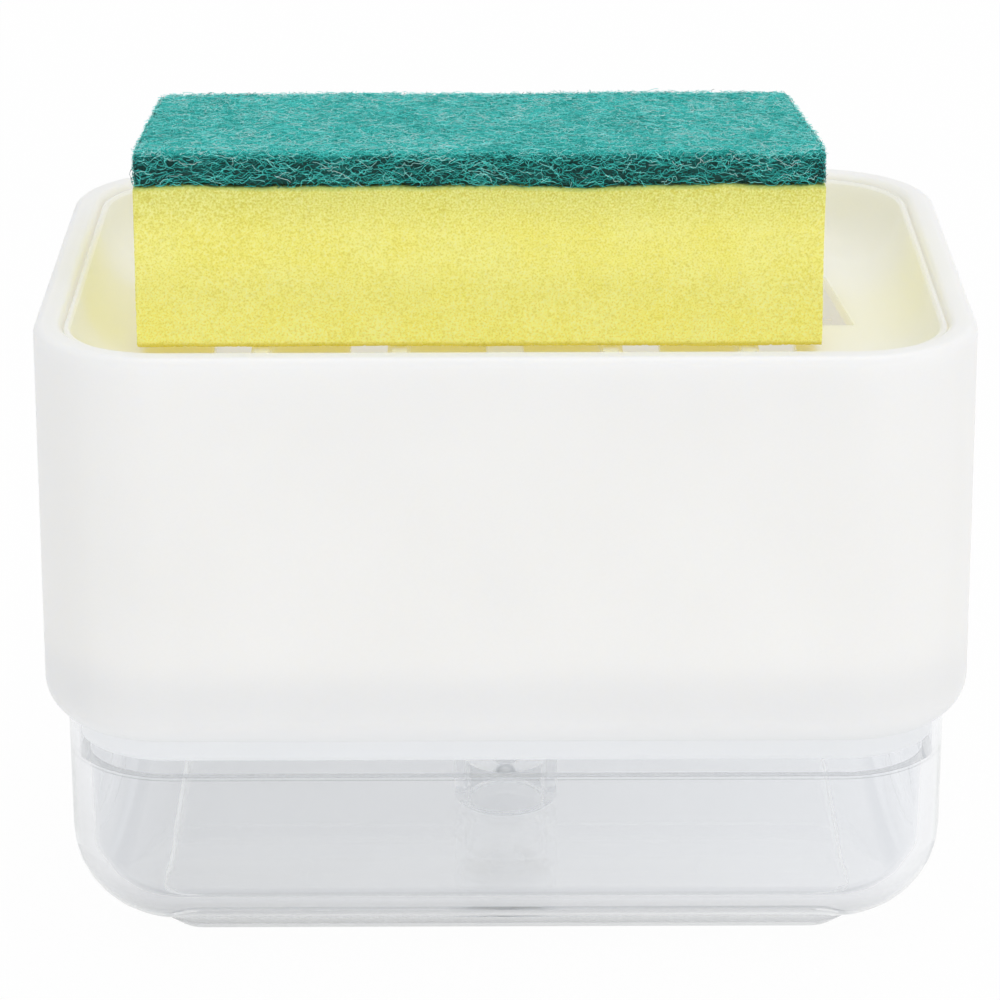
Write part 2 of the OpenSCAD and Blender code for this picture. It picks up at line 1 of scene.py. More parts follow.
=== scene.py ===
# %% [markdown]
# # A soap pump caddy, dressed for its photograph
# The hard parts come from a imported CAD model, in metres, and nothing moves them. This lesson gives
# them their finishes, makes the sponge that lies on the tray, and sets up the light and the camera.
# On the real object the finish is most of what is seen: clear plastic below, white plastic above,
# and on top a block of foam with a scouring pad. So each gets a cell of its own.

import math

import bmesh
import bpy
from mathutils import Matrix, Vector


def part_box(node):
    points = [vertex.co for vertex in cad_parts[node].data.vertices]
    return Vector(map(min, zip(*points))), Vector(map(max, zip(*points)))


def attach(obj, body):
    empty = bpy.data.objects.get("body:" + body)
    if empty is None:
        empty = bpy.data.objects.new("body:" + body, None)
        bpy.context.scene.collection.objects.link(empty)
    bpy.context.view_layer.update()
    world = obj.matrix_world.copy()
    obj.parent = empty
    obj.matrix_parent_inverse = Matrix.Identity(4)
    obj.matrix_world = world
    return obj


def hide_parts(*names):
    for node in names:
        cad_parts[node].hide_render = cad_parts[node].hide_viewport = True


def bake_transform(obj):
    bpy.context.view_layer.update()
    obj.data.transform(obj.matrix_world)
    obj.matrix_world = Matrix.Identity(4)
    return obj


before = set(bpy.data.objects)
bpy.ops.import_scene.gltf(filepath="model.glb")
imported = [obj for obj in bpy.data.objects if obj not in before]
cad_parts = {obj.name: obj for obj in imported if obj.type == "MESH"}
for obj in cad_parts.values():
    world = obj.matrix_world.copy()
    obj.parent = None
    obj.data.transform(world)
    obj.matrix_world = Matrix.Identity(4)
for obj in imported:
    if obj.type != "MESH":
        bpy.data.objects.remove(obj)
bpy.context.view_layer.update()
MM = 0.001
print("CAD nodes:", len(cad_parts))

# %% [markdown]
# ## The camera
# The photograph was taken from in front and about twenty degrees above, with a long lens. A long
# lens keeps the housing's sides nearly parallel. The aim, distance, tilt and lens were worked out
# from the outlines of the rim, the tank and the sponge, and the camera is built from them.

# %% Camera
def aimed_camera(target, distance, pitch, yaw, roll, lens):
    ahead = Vector((math.sin(yaw) * math.cos(pitch), math.cos(yaw) * math.cos(pitch), -math.sin(pitch)))
    level = Vector((math.cos(yaw), -math.sin(yaw), 0))
    up = level.cross(ahead)
    right = level * math.cos(roll) + up * math.sin(roll)
    over = up * math.cos(roll) - level * math.sin(roll)
    data = bpy.data.cameras.new("photo_camera")
    data.sensor_width = 36
    data.lens = lens
    camera = bpy.data.objects.new("photo_camera", data)
    bpy.context.scene.collection.objects.link(camera)
    place = Matrix((right, over, -ahead)).transposed().to_4x4()
    place.translation = target - ahead * distance
    camera.matrix_world = place
    return camera


camera = aimed_camera(target=Vector((-0.78, 0, 54.6)) * MM, distance=610.1 * MM,
                      pitch=0.3556, yaw=0.0019, roll=-0.0023, lens=144.42)
bpy.context.scene.camera = camera
bpy.context.scene.view_settings.view_transform = "Standard"
print("camera at", [round(c, 3) for c in camera.matrix_world.translation])

# %% [markdown]
# ## Small helpers for node trees
# Materials and geometry trees are both made of nodes joined by links. The first helper adds a node
# and fills its sockets: a value is set, and a socket of another node is linked. The others name
# the nodes that come back again and again, so that a material reads like a recipe.

# %% Node helpers
def add(tree, kind, inputs=None, **settings):
    made = tree.nodes.new(kind)
    for name, value in settings.items():
        setattr(made, name, value)
    for key, value in (inputs or {}).items():
        if isinstance(value, bpy.types.NodeSocket):
            tree.links.new(value, made.inputs[key])
        else:
            made.inputs[key].default_value = value
    return made


def maths(tree, operation, *values, clamp=False):
    made = add(tree, "ShaderNodeMath", dict(enumerate(values)), operation=operation, use_clamp=clamp)
    return made.outputs[0]


def between(tree, value, low, high, to_low=0.0, to_high=1.0, **settings):
    """How far a value has gone from low to high, given as a value from to_low to to_high."""
    span = {"Value": value, "From Min": low, "From Max": high, "To Min": to_low, "To Max": to_high}
    return add(tree, "ShaderNodeMapRange", span, **settings).outputs[0]


def xyz(tree, vector):
    return add(tree, "ShaderNodeSeparateXYZ", {0: vector}).outputs


def coordinates(tree, kind="Object"):
    return add(tree, "ShaderNodeTexCoord").outputs[kind]


def noise(tree, place, scale, detail, **settings):
    sizes = {"Vector": place, "Scale": scale, "Detail": detail}
    return add(tree, "ShaderNodeTexNoise", sizes, **settings).outputs[0]


# %% Colour and shader helpers
def ramp(tree, factor, *stops):
    made = add(tree, "ShaderNodeValToRGB", {"Fac": factor})
    while len(made.color_ramp.elements) < len(stops):
        made.color_ramp.elements.new(0.5)
    for element, (place, colour) in zip(made.color_ramp.elements, stops):
        element.position = place
        element.color = (*colour, 1)
    return made.outputs["Color"]


def blended(tree, factor, under, over, **settings):
    """One colour laid over another. Each is a socket or three numbers."""
    made = add(tree, "ShaderNodeMix", {"Factor": factor}, data_type="RGBA", **settings)
    for socket, colour in ((made.inputs[6], under), (made.inputs[7], over)):
        if isinstance(colour, bpy.types.NodeSocket):
            tree.links.new(colour, socket)
        else:
            socket.default_value = (*colour, 1)
    return made.outputs[2]


def mix_shaders(tree, share, one, other):
    return add(tree, "ShaderNodeMixShader", {0: share, 1: one, 2: other}).outputs[0]


def glow(tree, colour):
    return add(tree, "ShaderNodeEmission", {"Color": (*colour, 1), "Strength": 1.0}).outputs[0]


ONCE, TWICE = 0.5, 1.5  # a ray's depth is past these after one bounce and after two


def bounced(tree, kind, times):
    depth = add(tree, "ShaderNodeLightPath").outputs[kind + " Depth"]
    return maths(tree, "GREATER_THAN", depth, times)


def new_material(name):
    made = bpy.data.materials.new(name)
    made.use_nodes = True
    return made, made.node_tree, made.node_tree.nodes["Principled BSDF"]


def fill(body, values):
    for key, value in values.items():
        body.inputs[key].default_value = value


print("node helpers ready")

# %% [markdown]
# ## Light and background
# The photograph is a product shot in a bright tent: light comes from all sides, a little more from
# above and from the right, and shadows almost vanish. An even world does that, with four wide and
# weak lamps. The white of the background is not extra light. It is what camera rays see, through
# the Light Path node, and no other ray meets it.

# %% World
TENT_STRENGTH = 0.84
TENT_LEFT, TENT_MIDDLE, TENT_RIGHT = (0.85, 0.865, 0.88), (0.92, 0.92, 0.92), (1, 1, 1)


def seen_share(tree, direct, bent, scattered):
    """How much plain white a ray sees: straight on, through or off something clear, or scattered."""
    path = add(tree, "ShaderNodeLightPath")
    through = maths(tree, "MAXIMUM", path.outputs["Is Glossy Ray"], path.outputs["Is Transmission Ray"])
    plain = maths(tree, "MAXIMUM", maths(tree, "MULTIPLY", path.outputs["Is Camera Ray"], direct),
                  maths(tree, "MULTIPLY", through, bent))
    later = maths(tree, "MULTIPLY", bounced(tree, "Diffuse", ONCE), scattered)
    return maths(tree, "MAXIMUM", plain, later)


world = bpy.data.worlds.new("tent")
world.use_nodes = True
tree = world.node_tree
tree.nodes.clear()
side = maths(tree, "MULTIPLY_ADD", xyz(tree, coordinates(tree, "Generated"))[0], 0.5, 0.5)
walls = ramp(tree, side, (0.05, TENT_LEFT), (0.55, TENT_MIDDLE), (0.95, TENT_RIGHT))
tent_light = add(tree, "ShaderNodeBackground", {"Color": walls, "Strength": TENT_STRENGTH})
tent_white = add(tree, "ShaderNodeBackground", {"Color": (1, 1, 1, 1), "Strength": 1})
tent = mix_shaders(tree, seen_share(tree, 1, 0, 0), tent_light.outputs[0], tent_white.outputs[0])
add(tree, "ShaderNodeOutputWorld", {"Surface": tent})
bpy.context.scene.world = world
print("world:", world.name)


# %% Lamps
def soft_lamp(name, place, target, width, height, power):
    data = bpy.data.lights.new(name, "AREA")
    data.shape = "RECTANGLE"
    data.size = width
    data.size_y = height
    data.energy = power
    lamp = bpy.data.objects.new(name, data)
    bpy.context.scene.collection.objects.link(lamp)
    lamp.visible_transmission = False
    facing = (target - place).to_track_quat("-Z", "Y").to_matrix().to_4x4()
    lamp.matrix_world = Matrix.Translation(place) @ facing


middle = Vector((0, 0, 60)) * MM
for name, place, width, height, power in (
        ("top_lamp", (0.15, 0.1, 1.2), 0.9, 0.9, 2.7),
        ("right_lamp", (1.1, -0.5, 0.6), 0.7, 0.7, 0.4),
        ("low_front_lamp", (0.1, -0.75, 0.06), 1.2, 0.11, 0.45),
        ("high_front_lamp", (0.2, -1.0, 0.65), 0.9, 0.9, 0.62)):
    soft_lamp(name, Vector(place), middle, width, height, power)

# %% [markdown]
# ## The floor
# The floor is matt paint that takes the object's shadow. What the camera sees of it is mostly plain
# white, as in the photograph, and light that has bounced once finds it nearly as bright. Seen
# through the tank it is a light grey that gets darker to the left: the tent is darker there and the
# clear walls show it, and the share of plain white is also painted lower there, a painted shade.

# %% Floor
FLOOR_REACH, FLOOR_LEVEL = 4, -0.05 * MM
SEEN_STRAIGHT, SEEN_SCATTERED = 0.97, 0.9
THROUGH_LEFT, THROUGH_MIDDLE, THROUGH_RIGHT = (0.48,) * 3, (0.62,) * 3, (0.85,) * 3
RAMPS_PER_METRE = 6.0  # the ramp runs over a sixth of a metre, with the object in its middle

floor_mesh = bpy.data.meshes.new("floor")
corners = [(x * FLOOR_REACH, y * FLOOR_REACH, FLOOR_LEVEL) for x, y in ((-1, -1), (1, -1), (1, 1), (-1, 1))]
floor_mesh.from_pydata(corners, [], [(0, 1, 2, 3)])
floor = bpy.data.objects.new("floor", floor_mesh)
bpy.context.scene.collection.objects.link(floor)
floor_paint, tree, _ = new_material("floor_paint")
tree.nodes.clear()
paint = add(tree, "ShaderNodeBsdfDiffuse", {"Color": (0.9, 0.9, 0.9, 1)}).outputs[0]
across = maths(tree, "MULTIPLY_ADD", xyz(tree, coordinates(tree))[0], RAMPS_PER_METRE, 0.5)
# painted shade: through the tank the floor shows less plain white towards the left
through_tank_shade = ramp(tree, across, (0.1, THROUGH_LEFT), (0.5, THROUGH_MIDDLE), (0.9, THROUGH_RIGHT))
share = seen_share(tree, SEEN_STRAIGHT, through_tank_shade, SEEN_SCATTERED)
shown = mix_shaders(tree, share, paint, glow(tree, (1, 1, 1)))
add(tree, "ShaderNodeOutputMaterial", {"Surface": shown})
floor_mesh.materials.append(floor_paint)
print("floor reaches", FLOOR_REACH, "m each way")

# %% [markdown]
# ## The skin of moulded plastic
# Moulded plastic is never one flat colour and gloss. The tool leaves a fine skin, and the plastic
# flows in slow waves as it fills the mould. Every hard part here shares that, so it is one node
# group. It gives a tone, a change of gloss and a height, and each material sets its own strengths.

# %% Moulded skin group
WAVE_SHARE, GRAIN_SHARE = 0.7, 0.3


def group(name, inputs, outputs):
    made = bpy.data.node_groups.new(name, "ShaderNodeTree")
    for label, value in inputs:
        socket = made.interface.new_socket(label, in_out="INPUT", socket_type="NodeSocketFloat")
        socket.default_value = value
    for label in outputs:
        made.interface.new_socket(label, in_out="OUTPUT", socket_type="NodeSocketFloat")
    return made, made.nodes.new("NodeGroupInput"), made.nodes.new("NodeGroupOutput")


skin, given, result = group("moulded_skin", [("Waves per metre", 40), ("Grain per metre", 2600)],
                            ["Tone", "Gloss", "Height"])
place = coordinates(skin)
waves = noise(skin, place, given.outputs[0], 2.0)
grain = noise(skin, place, given.outputs[1], 3.0)
tone = maths(skin, "ADD", maths(skin, "MULTIPLY", waves, WAVE_SHARE),
             maths(skin, "MULTIPLY", grain, GRAIN_SHARE))
for label, value in (("Tone", tone), ("Gloss", waves), ("Height", grain)):
    skin.links.new(value, result.inputs[label])


def skinned(tree, body, colour, shade, gloss, sizes=None):
    """Place the skin group. It sets the roughness, and gives its node and the toned colour."""
    surface = add(tree, "ShaderNodeGroup", sizes, node_tree=skin)
    tree.links.new(between(tree, surface.outputs["Gloss"], 0.0, 1.0, *gloss), body.inputs["Roughness"])
    dark = tuple(c * shade for c in colour)
    return surface.outputs, ramp(tree, surface.outputs["Tone"], (0.3, dark), (0.7, colour))


def spread(roughness):
    return roughness * 0.7, roughness * 1.3


def relief(tree, body, strength, distance, height):
    made = add(tree, "ShaderNodeBump", {"Strength": strength, "Distance": distance, "Height": height})
    tree.links.new(made.outputs[0], body.inputs["Normal"])


print("group:", skin.name)

# %% [markdown]
# ## Plastics
# The housing, tray and deck are opaque white plastic with a satin gloss. The pump's parts are the
# same kind of plastic left natural, and the seals are soft and dull. One function makes them all.
#
# Light wanders about inside thin white walls more often than a render follows it. So each plastic
# glows with an even painted light of its own colour, for rays that have bounced twice. Two more
# painted glows stand in for light of that kind: the deck, seen through the tank, glows with the
# light that the clear walls would lead to it, and the lowest edge of the housing, the hem, glows
# with the light it would let through.

# %% Plastic materials
GLOSS_SWING = 0.04
SKIN_SHADE = 0.97
SKIN_DEPTH = 0.02 * MM
# the hem's painted glow: full up to HEM_FULL over the housing's lowest point, gone at HEM_GONE
HEM_FULL, HEM_GONE, HEM_SHARE = 1.0 * MM, 3.0 * MM, 0.75
HEM_LIGHT, GUIDED_LIGHT = (0.84, 0.85, 0.86), (0.93, 0.94, 0.95)


def plastic(name, colour, roughness, bounce_glow, guided_glow=0, hem=None, bump=0.06, sockets=None):
    made, tree, body = new_material(name)
    gloss = (roughness - GLOSS_SWING, roughness + GLOSS_SWING)
    surface, toned = skinned(tree, body, colour, SKIN_SHADE, gloss)
    tree.links.new(toned, body.inputs["Base Color"])
    relief(tree, body, bump, SKIN_DEPTH, surface["Height"])
    fill(body, sockets or {})
    # painted light: for rays that have bounced twice the plastic glows with an even colour
    shown = mix_shaders(tree, bounced(tree, "Diffuse", TWICE), body.outputs[0], glow(tree, bounce_glow))
    # painted light: the housing's lowest edge glows, for every ray
    if hem is not None:
        level = xyz(tree, coordinates(tree))[2]
        low = between(tree, level, hem + HEM_FULL, hem + HEM_GONE, HEM_SHARE, 0.0)
        shown = mix_shaders(tree, low, shown, glow(tree, HEM_LIGHT))
    # painted light: seen through clear plastic by a ray that has not scattered, the part glows
    if guided_glow:
        straight = maths(tree, "SUBTRACT", 1.0, bounced(tree, "Diffuse", ONCE))
        behind = maths(tree, "MULTIPLY", bounced(tree, "Transmission", ONCE), straight)
        shown = mix_shaders(tree, maths(tree, "MULTIPLY", behind, guided_glow), shown, glow(tree, GUIDED_LIGHT))
    tree.links.new(shown, tree.nodes["Material Output"].inputs["Surface"])
    return made


lit_through = {"Subsurface Weight": 0.8, "Subsurface Radius": (1, 0.95, 0.85), "Subsurface Scale": 5 * MM}
shell_white = plastic("shell_white", (0.88, 0.88, 0.88), 0.35, bounce_glow=(0.88, 0.84, 0.7),
                      hem=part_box("housing")[0].z, sockets=lit_through)
tray_white = plastic("tray_white", (0.88, 0.878, 0.86), 0.34, bounce_glow=(0.95, 0.93, 0.82), sockets=lit_through)
deck_white = plastic("deck_white", (0.95, 0.953, 0.957), 0.36, bounce_glow=(0.9, 0.84, 0.62), guided_glow=0.7,
                     sockets=lit_through)
pump_natural = plastic("pump_natural", (0.85, 0.86, 0.87), 0.4, bounce_glow=(0.86, 0.82, 0.68), sockets=lit_through)
seal_grey = plastic("seal_grey", (0.62, 0.63, 0.64), 0.6, bounce_glow=(0.6, 0.58, 0.5), bump=0.15)
print("plastics made")

# %% [markdown]
# ## Clear plastic
# The tank is clear, with walls of one and a half to three millimetres. It is a glass-like surface
# with a faint grey tint, and long soft waves from the moulding bend what is seen through it. Its
# foot is tinted darker, partly as the tint of thicker plastic and partly as painted shade, with
# one darker band of painted shade low down, and a thin line of painted shade runs along the
# ledge inside it. Light has to reach the floor through it too, so for shadow rays it is simply
# see-through. So it is for a ray that has been thrown to and fro inside a wall, which would end
# black where the real wall lets it out.

# %% Clear materials
LEDGE, LEDGE_BAND, LEDGE_PAINTED_SHADE = 28.8 * MM, 0.08 * MM, (0.6, 0.61, 0.63)
FOOT = 9 * MM
FOOT_TINT_AND_SHADE = ((0.0, (0.7, 0.705, 0.715)), (0.13, (0.7, 0.705, 0.715)), (0.2, (0.5, 0.505, 0.515)),
              (0.3, (0.7, 0.71, 0.72)), (0.55, (0.8, 0.81, 0.825)), (1.0, (1.0, 1.0, 1.0)))
HALF_DEPTH = 46 * MM
HALF_WIDTH = 71 * MM  # more than the tank's own, so that the floor at its two ends stays clear
RIM_FULL, RIM_GONE = 11 * MM, 13 * MM
TINT_SHADE, WAVE_DEPTH = 0.985, 0.05 * MM


def thickness_and_painted_shade(tree, colour):
    """Painted shade on the tank: a thin line along its ledge, and its foot near the front and the back, darker
    partly as thicker plastic and partly as painted shade.
    """
    x, y, z = xyz(tree, coordinates(tree))
    # painted shade: a thin dark line along the ledge
    colour = blended(tree, maths(tree, "COMPARE", z, LEDGE, LEDGE_BAND), colour, LEDGE_PAINTED_SHADE)
    # the foot: darker towards the bottom, partly the tint of thicker plastic, partly painted shade
    foot = ramp(tree, maths(tree, "DIVIDE", z, FOOT), *FOOT_TINT_AND_SHADE)
    inwards = [maths(tree, "SUBTRACT", half, maths(tree, "ABSOLUTE", axis))
               for half, axis in ((HALF_WIDTH, x), (HALF_DEPTH, y))]
    rim = between(tree, maths(tree, "MINIMUM", *inwards), RIM_FULL, RIM_GONE, 1.0, 0.0)
    return blended(tree, rim, colour, foot, blend_type="MULTIPLY")


def clear(name, tint, roughness, waviness, index, shadow, thickness_and_shade=None):
    made, tree, body = new_material(name)
    fill(body, {"Transmission Weight": 1, "IOR": index})
    surface, colour = skinned(tree, body, tint, TINT_SHADE, spread(roughness),
                              {"Waves per metre": 60, "Grain per metre": 900})
    if thickness_and_shade:
        colour = thickness_and_shade(tree, colour)
    tree.links.new(colour, body.inputs["Base Color"])
    relief(tree, body, waviness, WAVE_DEPTH, surface["Gloss"])
    open_air = add(tree, "ShaderNodeBsdfTransparent", {"Color": (*shadow, 1)})
    shadow_ray = add(tree, "ShaderNodeLightPath").outputs["Is Shadow Ray"]
    passing = maths(tree, "MAXIMUM", shadow_ray, bounced(tree, "Glossy", TWICE))
    shown = mix_shaders(tree, passing, body.outputs[0], open_air.outputs[0])
    tree.links.new(shown, tree.nodes["Material Output"].inputs["Surface"])
    return made


tank_clear = clear("tank_clear", (0.943, 0.953, 0.97), roughness=0.02, waviness=0.08, index=1.5,
                   shadow=(0.96, 0.965, 0.97), thickness_and_shade=thickness_and_painted_shade)
barrel_clear = clear("barrel_clear", (0.96, 0.965, 0.97), roughness=0.2, waviness=0.1, index=1.12,
                     shadow=(0.95, 0.955, 0.96))
print("clear plastics made")

# %% [markdown]
# ## Steel
# The pump's spring is drawn wire, and its two valve balls are ground. Both are plain metal with
# the same kind of skin, only finer.

# %% Steel materials
STEEL_SHADE = 0.9


def steel(name, colour, roughness):
    made, tree, body = new_material(name)
    fill(body, {"Metallic": 1})
    _, toned = skinned(tree, body, colour, STEEL_SHADE, spread(roughness),
                       {"Waves per metre": 300, "Grain per metre": 4000})
    tree.links.new(toned, body.inputs["Base Color"])
    return made


wire_steel = steel("wire_steel", (0.82, 0.83, 0.85), 0.35)
ball_steel = steel("polished_steel", (0.88, 0.89, 0.9), 0.3)
print("steels made")

# %% [markdown]
# ## Smooth skins for the moulded parts
# A CAD mesh is loose triangles, and its rounded edges are a row of narrow flat strips. On clear
# plastic each strip would show as a line. So a copy is welded, its true edges are marked sharp, and
# every corner of a face gets a normal of its own. It blends the strips that meet there, but a wide
# flat wall pulls it to itself and stays flat. The shape does not change, and the copy stands for
# the CAD node.

# %% Corner normals
SHARP = math.radians(40)
FLAT = math.radians(0.4)
NO_ANGLE = 4  # what an edge with one face counts as: never flat
WALL, WALL_PULL = 300 * MM * MM, 1000.0


def joined_faces(faces, may_cross):
    """Faces that hang together over edges that may be crossed, listed in the same order every run."""
    left, patches = set(faces), []
    while left:
        todo = [left.pop()]
        patch = set(todo)
        while todo:
            for edge in todo.pop().edges:
                if may_cross(edge):
                    fresh = [f for f in edge.link_faces if f in left]
                    left.difference_update(fresh)
                    patch.update(fresh)
                    todo += fresh
        patches.append(sorted(patch, key=lambda face: face.index))
    return patches


def corner_normals(shape):
    """One normal for each face corner: blended round the corner, but a wide flat wall keeps its own."""
    weight = {}
    for patch in joined_faces(shape.faces, lambda edge: edge.calc_face_angle(NO_ANGLE) < FLAT):
        wide = sum(face.calc_area() for face in patch) > WALL
        weight.update((face, WALL_PULL if wide else 1.0) for face in patch)
    normals = {}
    for vert in shape.verts:
        corners = {loop.face: loop for loop in vert.link_loops}
        here = set(vert.link_edges)
        for patch in joined_faces(vert.link_faces, lambda edge: edge in here and edge.smooth):
            blend = Vector()
            for face in patch:
                blend += face.normal * (corners[face].calc_angle() * weight[face])
            for face in patch:
                normals[corners[face]] = blend.normalized()
    return [normals[loop] for face in shape.faces for loop in face.loops]


print("a wall is wider than", round(WALL / MM / MM), "square mm")


# %% Smooth copies
WELD = 0.002 * MM


def smooth_copy(node, name, body, material):
    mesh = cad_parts[node].data.copy()
    for layer in ("custom_normal", "sharp_face", "sharp_edge"):
        if layer in mesh.attributes:
            mesh.attributes.remove(mesh.attributes[layer])
    shape = bmesh.new()
    shape.from_mesh(mesh)
    bmesh.ops.remove_doubles(shape, verts=shape.verts, dist=WELD)
    for edge in shape.edges:
        edge.smooth = edge.calc_face_angle(0) < SHARP
    for face in shape.faces:
        face.smooth = True
    shape.normal_update()
    shape.faces.index_update()
    normals = corner_normals(shape)
    shape.to_mesh(mesh)
    shape.free()
    mesh.normals_split_custom_set(normals)
    mesh.materials.clear()
    mesh.materials.append(material)
    piece = bpy.data.objects.new(name, mesh)
    bpy.context.scene.collection.objects.link(piece)
    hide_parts(node)
    if body:
        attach(piece, body)
    return piece


for node, name, body, material, slot in (
        ("tank", "clear_tank", "tank", tank_clear, "clear_plastic"),
        ("housing", "white_housing", "cover", shell_white, "white_shell"),
        ("pump_deck", "deck_and_skirt", "cover", deck_white, "white_inner"),
        ("pump_collar", "screw_collar", "cover", deck_white, "white_inner"),
        ("pump_barrel", "barrel_tube", "cover", barrel_clear, "pump_plastic"),
        ("press_tray", "slotted_tray", "tray", tray_white, "white_inner"),
        ("press_head", "pump_head", "press", pump_natural, "pump_plastic")):
    piece = smooth_copy(node, name, body, material)
    print(name, len(piece.data.polygons), "faces")

# %% [markdown]
# ## The return spring
# The spring stands between its seat, which stays with the cover, and the piston, which goes down
# with the press. Its copy is held by neither: it is welded and smoothed like the others, and its
# place is laid into the mesh.

# %% Return spring
spring = smooth_copy("return_spring", "coil_spring", None, wire_steel)
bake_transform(spring)
print(spring.name, len(spring.data.polygons), "faces")

# %% [markdown]
# ## Finishes for the small parts
# The parts inside the pump are small and already smooth, so the CAD meshes stay and only their
# material changes.

# %% Small parts
for node, material in (("deck_seal", seal_grey), ("barrel_gasket", seal_grey), ("piston_cup", seal_grey),
                       ("barrel_cap", pump_natural), ("piston_stem", pump_natural),
                       ("piston_rod", pump_natural), ("spring_seat", pump_natural),
                       ("inlet_ball", ball_steel), ("outlet_ball", ball_steel)):
    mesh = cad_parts[node].data
    mesh.materials.clear()
    mesh.materials.append(material)
print("small parts finished")

# %% [markdown]
# ## Geometry trees
# Foam has thousands of pores and a scouring pad has thousands of fibres. Nobody places those by
# hand, so they come from Geometry Nodes: a tree with named sizes, which makes the piece. The
# result is then turned into a plain mesh and the modifier goes.

# %% Geometry tree helpers
def geometry_tree(name, inputs):
    tree = bpy.data.node_groups.new(name, "GeometryNodeTree")
    tree.interface.new_socket("Geometry", in_out="INPUT", socket_type="NodeSocketGeometry")
    for label, kind in inputs:
        tree.interface.new_socket(label, in_out="INPUT", socket_type="NodeSocket" + kind)
    tree.interface.new_socket("Geometry", in_out="OUTPUT", socket_type="NodeSocketGeometry")
    return tree, tree.nodes.new("NodeGroupInput").outputs, tree.nodes.new("NodeGroupOutput").inputs[0]


def grown(name, tree, values):
    piece = bpy.data.objects.new(name, bpy.data.meshes.new(name))
    bpy.context.scene.collection.objects.link(piece)
    growth = piece.modifiers.new(tree.name, "NODES")
    growth.node_group = tree
    for item in tree.interface.items_tree:
        if item.in_out == "INPUT" and item.name in values:
            growth[item.identifier] = values[item.name]
    graph = bpy.context.evaluated_depsgraph_get()
    mesh = bpy.data.meshes.new_from_object(piece.evaluated_get(graph), preserve_all_data_layers=True,
                                           depsgraph=graph)
    piece.modifiers.clear()
    piece.data = mesh
    return piece


def vector_maths(tree, operation, *values):
    made = add(tree, "ShaderNodeVectorMath", operation=operation)
    sockets = [s for s in made.inputs if s.enabled]
    for socket, value in zip(sockets, values):
        if isinstance(value, bpy.types.NodeSocket):
            tree.links.new(value, socket)
        else:
            socket.default_value = value
    return [s for s in made.outputs if s.enabled][0]


def scaled(tree, vector, factor):
    return add(tree, "ShaderNodeVectorMath", {0: vector, "Scale": factor}, operation="SCALE").outputs[0]


def mirrored(tree, vector):
    return vector_maths(tree, "MULTIPLY", vector, (-1, -1, -1))


def vector(tree, x=0.0, y=0.0, z=0.0):
    return add(tree, "ShaderNodeCombineXYZ", {0: x, 1: y, 2: z}).outputs[0]


def position(tree):
    return add(tree, "GeometryNodeInputPosition").outputs[0]


def moved(tree, geometry, **to):
    """Points moved to a Position or by an Offset."""
    return add(tree, "GeometryNodeSetPosition", {"Geometry": geometry, **to}).outputs[0]


def stored(tree, geometry, name, value, **settings):
    made = add(tree, "GeometryNodeStoreNamedAttribute",
               {"Geometry": geometry, "Name": name, "Value": value}, **settings)
    return made.outputs[0]


print("geometry helpers ready")

# %% [markdown]
# Foam and pad start alike: as a block of small squares with rounded edges. Then both get the cut
# of a real sponge, which is a little narrower at its back, with a glued seam that runs in waves.

# %% Block and cut
CUT = [("Size", "Vector"), ("Centre", "Vector"), ("Edge radius", "Float"), ("Lower edge", "Float"),
       ("Step", "Float"), ("Taper", "Float"), ("Skew", "Float"), ("Wave below", "Float"),
       ("Wave above", "Float"), ("Material", "Material")]
sponge_cut = {"Taper": 0.05, "Skew": 0.78 * MM, "Lower edge": 0.25}
NARROWS_FROM, NARROWS_TO = -12 * MM, 17.25 * MM
SEAM_WAVES = 90.0


def block(tree, given):
    """Points past the core are drawn in to a radius. It shrinks to the share "Lower edge" below."""
    cells = vector_maths(tree, "DIVIDE", given["Size"], vector(tree, *[given["Step"]] * 3))
    count = xyz(tree, cells)
    cube = add(tree, "GeometryNodeMeshCube", {"Size": given["Size"], "Vertices X": count[0],
                                              "Vertices Y": count[1], "Vertices Z": count[2]})
    half = scaled(tree, given["Size"], 0.5)
    place = position(tree)
    level = maths(tree, "DIVIDE", xyz(tree, place)[2], xyz(tree, half)[2])
    share = between(tree, level, -1.0, 1.0, given["Lower edge"], 1.0)
    radius = maths(tree, "MULTIPLY", given["Edge radius"], share)
    core = vector_maths(tree, "SUBTRACT", half, vector(tree, radius, radius, radius))
    near = vector_maths(tree, "MINIMUM", vector_maths(tree, "MAXIMUM", place, mirrored(tree, core)), core)
    away = vector_maths(tree, "NORMALIZE", vector_maths(tree, "SUBTRACT", place, near))
    rounded = vector_maths(tree, "ADD", near, scaled(tree, away, radius))
    return moved(tree, cube.outputs["Mesh"], Position=rounded)


def hand_cut(tree, geometry, given):
    """Narrow the back, wave the seam and put the block in its place."""
    x, y, z = xyz(tree, position(tree))
    back = between(tree, y, NARROWS_FROM, NARROWS_TO)
    drawn_in = maths(tree, "ADD", maths(tree, "MULTIPLY", x, given["Taper"]), given["Skew"])
    inwards = maths(tree, "MULTIPLY", maths(tree, "MULTIPLY", drawn_in, back), -1.0)
    level = maths(tree, "ADD", maths(tree, "DIVIDE", z, xyz(tree, given["Size"])[2]), 0.5, clamp=True)
    wave = noise(tree, position(tree), SEAM_WAVES, 2.0, noise_dimensions="2D")
    height = between(tree, level, 0.0, 1.0, given["Wave below"], given["Wave above"])
    upwards = maths(tree, "MULTIPLY", maths(tree, "SUBTRACT", wave, 0.5), height)
    cut = moved(tree, geometry, Offset=vector(tree, x=inwards, z=upwards))
    placed = add(tree, "GeometryNodeTransform", {"Geometry": cut, "Translation": given["Centre"]})
    return placed.outputs[0]


